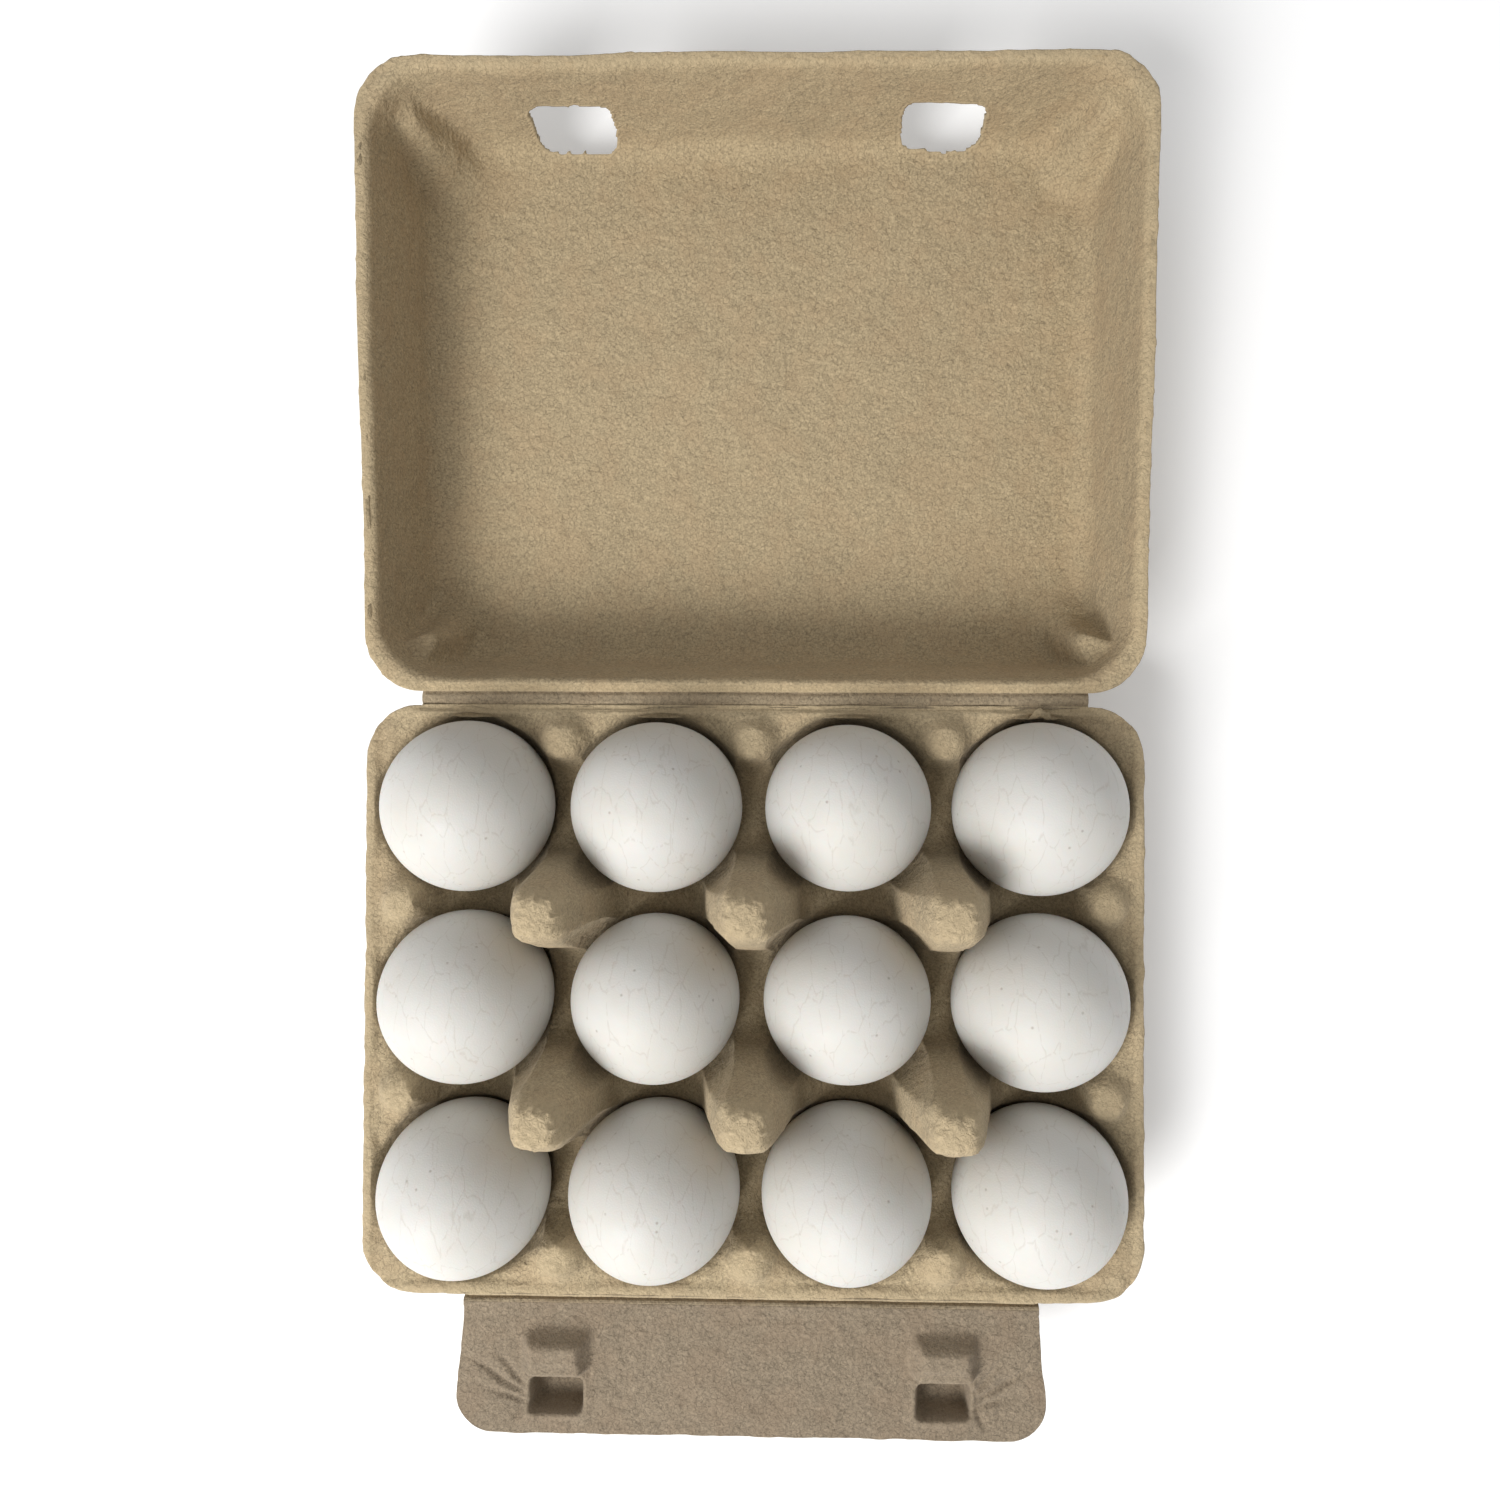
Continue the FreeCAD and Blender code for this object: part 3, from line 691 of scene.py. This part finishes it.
def wallProfile(share, flange, foot):
    # inset from the outer edge and drop below the rim, along a section of the lid's side
    turn = math.radians(90 - lid["draft"])
    bend = lid["rimBend"]
    straight = (lid["depth"] - (bend + foot) * (1 - math.cos(turn))) / math.sin(turn)
    flat = flange - bend * math.tan(turn / 2)
    parts = [flat, bend * turn, straight, foot * turn]
    along = share * sum(parts)
    if along <= parts[0]:
        return along, 0.0
    along -= parts[0]
    if along <= parts[1]:
        angle = along / bend
        return flat + bend * math.sin(angle), bend * (1 - math.cos(angle))
    along -= parts[1]
    inset = flat + bend * math.sin(turn)
    drop = bend * (1 - math.cos(turn))
    if along <= parts[2]:
        return inset + along * math.cos(turn), drop + along * math.sin(turn)
    along -= parts[2]
    inset += straight * math.cos(turn)
    drop += straight * math.sin(turn)
    angle = turn - along / foot
    return inset + foot * (math.sin(turn) - math.sin(angle)), drop + foot * (math.cos(angle) - math.cos(turn))


def makeLid():
    ring = lid["flangeSteps"] + lid["wallSteps"]
    columns = lid["floorColumns"] + 2 * ring
    rows = lid["floorRows"] + 2 * ring
    halfX = lidHigh.x
    bm = gridMesh(columns, rows)
    tearLayer = bm.verts.layers.float.new("tear")

    def ringShare(depthIndex):
        flatShare = 0.06
        if depthIndex <= lid["flangeSteps"]:
            return flatShare * depthIndex / lid["flangeSteps"]
        return mix(flatShare, 1.0, (depthIndex - lid["flangeSteps"]) / lid["wallSteps"])

    profiles = [(wallProfile(ringShare(index), lid["flange"], lid["floorBend"]),
                 wallProfile(ringShare(index), lid["rearFlange"], lid["rearFloorBend"]))
                for index in range(ring + 1)]
    slope = math.tan(math.radians(lid["draft"]))
    for vert in bm.verts:
        i = round((vert.co.x + 1) / 2 * columns)
        j = round((vert.co.y + 1) / 2 * rows)
        inX = min(i, columns - i)
        inY = min(j, rows - j)
        index = min(inX, inY, ring)
        (inset, drop), (rearInset, rearDrop) = profiles[index]
        left, right = -halfX + inset, halfX - inset
        rear, front = rearInset, lid["length"] - inset
        shareX = 2 * (i - index) / (columns - 2 * index) - 1
        shareY = (j - index) / (rows - 2 * index)
        x = mix(left, right, (shareX + 1) / 2)
        y = mix(rear, front, shareY)
        # the rear wall slopes more than the others; the two sections meet round the rear corners
        if index == inY and y < lid["length"] / 2:
            rearShare = 0.5 + 0.5 * step(0, 26 * mm, halfX - inset - abs(x))
        else:
            rearShare = 0.5 - 0.5 * step(0, 26 * mm, y - rearInset)
        drop = mix(drop, rearDrop, rearShare)
        radius = mix(lid["corner"], lid["corner"] + 2 * mm, step(0, lid["flange"], inset))
        radius = mix(radius, 12 * mm, drop / lid["depth"])
        extra = max(0.0, inset - lid["flange"] - drop * slope)
        share = (lid["depth"] - drop) / (lid["depth"] - lid["nubStart"])
        nub = None
        if share < 1:
            nubInset = lid["nubInset"] if y > lid["length"] / 2 else lid["rearNubInset"]
            foot = lid["nubFoot"] if y > lid["length"] / 2 else lid["rearNubFoot"]
            size = mix(foot, lid["nubTop"], share) + 0.7 * extra
            nub = (nubInset + lid["flange"] - inset, nubInset + lid["flange"] - inset, size)
        x, y = roundCorner(x, y, right, rear, front, lid["zone"], radius, nub)
        vert.co = (x, y, lid["top"] - drop)

    soften(bm, list(bm.verts), 2, 0.5)

    # two ragged holes through the front wall
    for hand in (-1, 1):
        holeZ = lid["top"] - (lid["holeTop"] + lid["holeBottom"]) / 2
        middle = Vector((hand * lid["holeSpacing"] / 2, 0, holeZ))
        halfHoleX = lid["holeWidth"] / 2
        halfHoleZ = (lid["holeBottom"] - lid["holeTop"]) / 2

        def outside(place):
            ragX = 1 + 0.05 * lump(place, 5 * mm, 11) + 0.03 * lump(place, 1.6 * mm, 13)
            a = abs(place.x - middle.x) / (halfHoleX * ragX)
            b = abs(place.z - middle.z) / (halfHoleZ * ragX)
            return (a ** 6 + b ** 6) ** (1 / 6)

        def onFront(place):
            return place.y > lid["length"] - 24 * mm

        near = [edge for edge in bm.edges
                if all(onFront(vert.co) and outside(vert.co) < 1.25 for vert in edge.verts)]
        bmesh.ops.subdivide_edges(bm, edges=near, cuts=1, use_grid_fill=True)
        gone = [face for face in bm.faces
                if onFront(face.calc_center_median()) and outside(face.calc_center_median()) < 1]
        bmesh.ops.delete(bm, geom=gone, context="FACES")
    holeVerts = [vert for vert in bm.verts if vert.is_boundary
                 and 20 * mm < vert.co.y < lid["length"] - 1 * mm and vert.co.z < lid["top"] - 5 * mm]
    soften(bm, holeVerts, 2, 0.5)
    for vert in bm.verts:
        inward = min(halfX - abs(vert.co.x), lid["length"] - vert.co.y, vert.co.y + 2 * mm)
        vert[tearLayer] = rimTear(vert.co, inward, 5 * mm) if vert.co.z > -2 * mm else 0.0
    for vert in holeVerts:
        vert[tearLayer] = 1.0
        for edge in vert.link_edges:
            other = edge.other_vert(vert)
            other[tearLayer] = max(other[tearLayer], 0.7)
    roughen(bm, tearLayer, 0.42 * mm, 0.18 * mm, 0.09 * mm, 0.9 * mm, 4.2)
    for vert in bm.verts:
        x, y, z = vert.co
        straight = y < 2 * mm and abs(x) < hingeHigh.x
        depth = lid["top"] - z
        onRim = step(9 * mm, 0, depth)
        if not straight:
            sway = onRim * step(3 * mm, 30 * mm, y)
            y += 0.9 * mm * sway * lump(Vector((x, y, 0)), 46 * mm, 2) * step(110 * mm, 150 * mm, y)
            z += 0.5 * mm * sway * lump(Vector((x, y, 0)), 30 * mm, 5)
            x += 0.5 * mm * sway * lump(Vector((x, y, 0)), 50 * mm, 8)
            if vert.is_boundary and depth < 3 * mm:
                pull = 0.5 * mm + 0.42 * mm * lump(vert.co, 4 * mm, 9)
                pull += 0.25 * mm * lump(vert.co, 1.5 * mm, 3)
                x -= math.copysign(pull * step(halfX - 12 * mm, halfX - 2 * mm, abs(x)), x)
                y -= pull * step(lid["length"] - 12 * mm, lid["length"] - 2 * mm, y)
                z -= 0.3 * mm
        # the flange steps down to the crease
        land = step(2.2 * mm, 1.3 * mm, y) * step(hingeHigh.x + 2.5 * mm, hingeHigh.x - 1 * mm, abs(x))
        z -= land * lid["top"]
        vert.co = (x, y, z)
    easeEdges(bm)
    for vert in bm.verts:
        vert.co = tipLid(*vert.co)
    finishPiece(bm, "lidPan", lidPulp, "lid", ["lid"], pulpWall)


makeLid()


# ---- creases that bend between the parts

crease = {
    "tuck": 0.7 * mm,
    "sink": 0.12 * mm,
    "spacing": 0.55 * mm,
    "rows": 28,
}


def makeCrease(name, halfX, startY, endY, grooves, bend, level, node, seed, tilt=0.0):
    # a web of the same sheet from startY on the tray to endY, bending between the two places in bend
    bm = gridMesh(round(halfX / crease["spacing"]), crease["rows"])
    tearLayer = bm.verts.layers.float.new("tear")
    for vert in bm.verts:
        x = vert.co.x * halfX
        y = mix(startY, endY, (vert.co.y + 1) / 2)
        flat = Vector((x, y, 0))
        z = level + 0.12 * mm * lump(flat, 6 * mm, seed) + 0.07 * mm * lump(flat, 1.6 * mm, seed)
        for place, depth, width in grooves:
            sway = 0.15 * mm * lump(flat, 11 * mm, seed + 1)
            z -= depth * math.exp(-((y - place + sway) / width) ** 2)
        if min(abs(y - startY), abs(y - endY)) < crease["tuck"]:
            z -= crease["sink"]
        z += max(0.0, y - bend[1]) * math.tan(tilt)
        vert.co = (x, y, z)
        vert[tearLayer] = 0.5 if vert.is_boundary else 0.0
    if startY > endY:
        bmesh.ops.reverse_faces(bm, faces=list(bm.faces))
    # the darker crease colour is painted shade
    piece = finishPiece(bm, name, creasePaintedShadePulp, None, [node], pulpWall)
    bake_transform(piece)


makeCrease("rearCrease", hingeHigh.x, hingeLow.y - crease["tuck"], hingeHigh.y + crease["tuck"],
           [(hingeLow.y, 0.5 * mm, 0.55 * mm), (hingeHigh.y, 0.5 * mm, 0.55 * mm)],
           (hingeLow.y, hingeHigh.y), pivotZ, "hinge_strip", 21, tiltAngle)
makeCrease("flapCrease", stripHigh.x, stripHigh.y + crease["tuck"], stripHigh.y - 1.5 * mm,
           [(stripHigh.y - 0.2 * mm, 1.3 * mm, 0.5 * mm)],
           (stripHigh.y + 0.4 * mm, stripHigh.y - 1.4 * mm), rim, "flap_strip", 31)


# ---- front flap with its two latches

flap = {
    "root": 73.5 * mm,
    "start": 0.75 * mm,
    "lipReach": 0.6 * mm,
    "flare": 2 * mm,
    "corner": 10 * mm,
    "spacing": 99 * mm,
    "latchWidth": 14.2 * mm,
    "latchNear": 97.2 * mm,
    "latchFar": 106.6 * mm,
    "latchDeep": 7.3 * mm,
    "bulgeWidth": 19 * mm,
    "bulgeNear": 84.0 * mm,
    "bulgeFar": 95.9 * mm,
    "bulgeRise": 5 * mm,
    # for each wrinkle: lean in degrees, place along the flap, length, height
    "wrinkles": [(-34, 103 * mm, 21 * mm, 1.3 * mm), (-20, 104.5 * mm, 17 * mm, 1.1 * mm),
                 (-50, 101 * mm, 15 * mm, 1.0 * mm), (62, 103 * mm, 8 * mm, 0.9 * mm)],
    "columns": 300,
    "rows": 62,
}


def slab(x, y, halfX, near, far, radius):
    # distance inside a rounded rectangle, negative outside; near and far count away from the tray
    a = abs(x) - halfX + radius
    b = abs(-y - (near + far) / 2) - (far - near) / 2 + radius
    outside = math.hypot(max(a, 0), max(b, 0)) + min(max(a, b), 0)
    return radius - outside


def makeFlap():
    bm = gridMesh(flap["columns"], flap["rows"])
    tearLayer = bm.verts.layers.float.new("tear")
    nearY, farY = stripHigh.y - flap["start"], flapLow.y - flap["lipReach"]
    length = nearY - farY
    for vert in bm.verts:
        down = (1 - vert.co.y) / 2
        halfX = mix(flap["root"], flap["root"] + flap["flare"], step(0.0, 0.85, down))
        x = vert.co.x * halfX
        y = mix(nearY, farY, down)
        if down > 0.5:
            x, y = roundCorner(x, y, halfX, farY, nearY + length, 14 * mm, flap["corner"])
        vert.co = (x, y, 0)
    for vert in bm.verts:
        x, y, _ = vert.co
        hand = 1 if x > 0 else -1
        across = x - hand * flap["spacing"] / 2
        flat = Vector((x, y, 0))
        wobble = 0.3 * mm * lump(flat, 7 * mm, 41)
        raised = slab(across + wobble, y, flap["bulgeWidth"] / 2, flap["bulgeNear"], flap["bulgeFar"],
                      3.6 * mm)
        slope = mix(0.8 * mm, 4.4 * mm, step(-flap["bulgeFar"], -flap["bulgeFar"] + 4 * mm, y))
        z = flap["bulgeRise"] * step(0, slope, raised)
        sunk = slab(across + wobble * 0.5, y, flap["latchWidth"] / 2, flap["latchNear"], flap["latchFar"],
                    1.6 * mm)
        z -= flap["latchDeep"] * step(0, 1.5 * mm, sunk)
        # the pushed-up rim round each latch
        z += 0.25 * mm * math.exp(-((sunk + 0.9 * mm) / (0.9 * mm)) ** 2) * step(1.5 * mm, 0, raised)
        tear = step(-1.6 * mm, -0.2 * mm, sunk) * step(2.2 * mm, 0.6 * mm, sunk)
        tear = max(tear, 0.5 * step(0.0, 1.0 * mm, raised))
        # a few sharp wrinkles from each latch's outer side to the flap's edge
        outward, down = hand * across, -y
        for angle, place, reach, height in flap["wrinkles"]:
            lean = math.radians(angle)
            along = (outward - 7 * mm) * math.cos(lean) + (down - place) * math.sin(lean)
            off = (down - place) * math.cos(lean) - (outward - 7 * mm) * math.sin(lean)
            off += 0.5 * mm * lump(flat, 5 * mm, 43) + hand * 0.4 * mm * lump(flat, 12 * mm, 49)
            fade = step(-0.5 * mm, 2 * mm, along) * step(reach, 0.5 * reach, along)
            z -= height * fade * step(-2.2 * mm, 0, off) * step(0.45 * mm, 0, off)
        z += 0.3 * mm * lump(flat, 30 * mm, 44) + 0.2 * mm * lump(flat, 11 * mm, 45) - 0.25 * mm
        z -= 0.12 * mm * math.exp(-((y - stripLow.y) / (0.5 * mm)) ** 2)
        vert.co.z = rim + z * step(nearY, nearY - 2 * mm, y)
        vert[tearLayer] = tear * 0.6
        if vert.is_boundary and y < nearY - 0.1 * mm:
            vert[tearLayer] = 0.45
    soften(bm, [vert for vert in bm.verts if not vert.is_boundary], 1, 0.3)
    cornerZone = [vert for vert in bm.verts if vert.co.y < farY + 12 * mm
                  and abs(vert.co.x) > flap["root"] - 10 * mm and not vert.is_boundary]
    soften(bm, cornerZone, 8, 0.5)
    roughen(bm, tearLayer, 0.22 * mm, 0.16 * mm, 0.08 * mm, 0.55 * mm, 6.1)
    for vert in bm.verts:
        place = vert.co
        if vert.is_boundary and place.y < nearY - 2 * mm:
            pull = 0.12 * mm + 0.3 * mm * lump(place, 7 * mm, 47) + 0.08 * mm * lump(place, 1.8 * mm, 48)
            atCorner = step(flap["root"] - 14 * mm, flap["root"] - 5 * mm, abs(place.x))
            pull *= 1 - 0.85 * atCorner * step(farY + 14 * mm, farY + 5 * mm, place.y)
            place.y += pull * step(farY + 12 * mm, farY + 4 * mm, place.y)
            place.x -= math.copysign(pull, place.x) * step(flap["root"] - 8 * mm, flap["root"], abs(place.x))
    easeEdges(bm)
    for vert in bm.verts:
        vert.co.z = mix(vert.co.z, rim - 0.5 * mm, step(nearY - 1.0 * mm, nearY, vert.co.y))
    # the darker flap colour is painted shade
    finishPiece(bm, "frontFlap", flapPaintedShadePulp, "flap", ["front_flap"], pulpWall)


makeFlap()


# ---- eggs

egg = {
    "widest": 31 / 57,
    "colour": (0.60, 0.588, 0.558),
    # lean to +x and to +y in degrees, width, length, turn
    "lays": [
        (3.0, 1.0, 1.00, 0.985, 10), (-1.0, 1.5, 0.995, 1.0, 70), (1.5, 3.0, 0.97, 0.985, 200),
        (-2.0, 1.0, 1.01, 0.985, 120), (2.0, -1.0, 1.00, 0.99, 310), (-1.5, 1.5, 0.98, 0.99, 45),
        (1.0, 2.0, 0.97, 0.985, 95), (-1.0, 1.5, 1.015, 0.985, 260), (2.0, -1.5, 0.985, 1.0, 150),
        (-1.0, -4.5, 0.995, 1.0, 20), (1.5, -4.0, 0.985, 1.0, 80), (-2.5, 2.0, 1.00, 0.98, 230),
    ],
}
eggShell = eggMaterial("eggShell", egg["colour"], {"cloudScale": 60.0})


def makeEgg(number, low, high, lay):
    leanX, leanY, wide, long, turn = lay
    length = high.z - low.z
    middle = low.z + length * egg["widest"]
    radius = (high.x - low.x) / 2
    bm = bmesh.new()
    bmesh.ops.create_icosphere(bm, subdivisions=5, radius=1)
    pose = Euler((math.radians(-leanY), math.radians(leanX), 0)).to_matrix()
    pose = pose @ Euler((0, 0, math.radians(turn))).to_matrix()
    centre = Vector(((low.x + high.x) / 2, (low.y + high.y) / 2, middle))
    for vert in bm.verts:
        place = vert.co.normalized()
        height = abs(place.z)
        if place.z < 0:
            slim = 1 - 0.1 * height ** 1.5
            tall = middle - low.z
        else:
            slim = 1 - 0.04 * height ** 2
            tall = high.z - middle
        uneven = 1 + 0.006 * lump(place, 0.9, number * 2.3)
        shape = Vector((place.x * radius * slim * wide * uneven * 0.995,
                        place.y * radius * slim * wide * uneven, place.z * tall * long))
        vert.co = centre + pose @ shape
    lift = low.z - min(vert.co.z for vert in bm.verts)
    for vert in bm.verts:
        vert.co.z += lift
    piece = finishPiece(bm, f"hensEgg{number}", eggShell, f"egg_{number}_body", [f"egg_{number}"])
    return piece


for number, ((low, high), lay) in enumerate(zip(eggBoxes, egg["lays"]), 1):
    makeEgg(number, low, high, lay)


# ---- floor, light and camera

studio = {
    "floorColour": (0.9, 0.9, 0.9, 1),
    "floorSize": 3.0,
    "floorGlow": 0.14,
    "skyStrength": 0.5,
    "keyPower": 17.0,
    "keySize": 0.6,
    "keyPlace": (-0.54, -0.64, 0.9),
    "fillPower": 0.5,
    "cameraPlace": (0.01467, 0.0610, 0.33784),
    "cameraTurn": (0.8125, 1.4411, 0.2897),
    "lens": 28.44,
    "sensor": 36.0,
    "shift": (-0.0199, -0.0039),
}


def makeStudio():
    bm = bmesh.new()
    bmesh.ops.create_grid(bm, x_segments=4, y_segments=4, size=studio["floorSize"] / 2)
    mesh = bpy.data.meshes.new("paleFloor")
    bm.to_mesh(mesh)
    bm.free()
    floor = bpy.data.objects.new("paleFloor", mesh)
    bpy.context.scene.collection.objects.link(floor)
    material, tree, shader = emptyMaterial("paleFloor")
    shader.inputs["Base Color"].default_value = studio["floorColour"]
    shader.inputs["Roughness"].default_value = 0.9
    shader.inputs["Specular IOR Level"].default_value = 0.1
    shader.inputs["Emission Color"].default_value = (1, 1, 1, 1)
    shader.inputs["Emission Strength"].default_value = studio["floorGlow"]
    mesh.materials.append(material)

    world = bpy.data.worlds.new("softRoom")
    world.use_nodes = True
    backdrop = world.node_tree.nodes["Background"]
    backdrop.inputs["Color"].default_value = (1, 1, 1, 1)
    backdrop.inputs["Strength"].default_value = studio["skyStrength"]
    bpy.context.scene.world = world

    target = Vector((0, 0.06, 0))
    for name, place, power, size in (
            ("keyLight", studio["keyPlace"], studio["keyPower"], studio["keySize"]),
            ("fillLight", (0.7, 0.9, 0.9), studio["fillPower"], 1.0)):
        lamp = bpy.data.lights.new(name, "AREA")
        lamp.energy = power
        lamp.size = size
        holder = bpy.data.objects.new(name, lamp)
        holder.location = place
        holder.rotation_euler = (target - Vector(place)).to_track_quat("-Z", "Y").to_euler()
        bpy.context.scene.collection.objects.link(holder)

    camera = bpy.data.cameras.new("overhead")
    camera.sensor_width = studio["sensor"]
    camera.lens = studio["lens"]
    camera.shift_x, camera.shift_y = studio["shift"]
    camera.clip_start = 0.01
    camera.dof.use_dof = False
    holder = bpy.data.objects.new("overhead", camera)
    holder.location = studio["cameraPlace"]
    holder.rotation_euler = [math.radians(angle) for angle in studio["cameraTurn"]]
    bpy.context.scene.collection.objects.link(holder)
    bpy.context.scene.camera = holder
    bpy.context.scene.view_settings.view_transform = "Standard"


makeStudio()

bpy.context.view_layer.update()
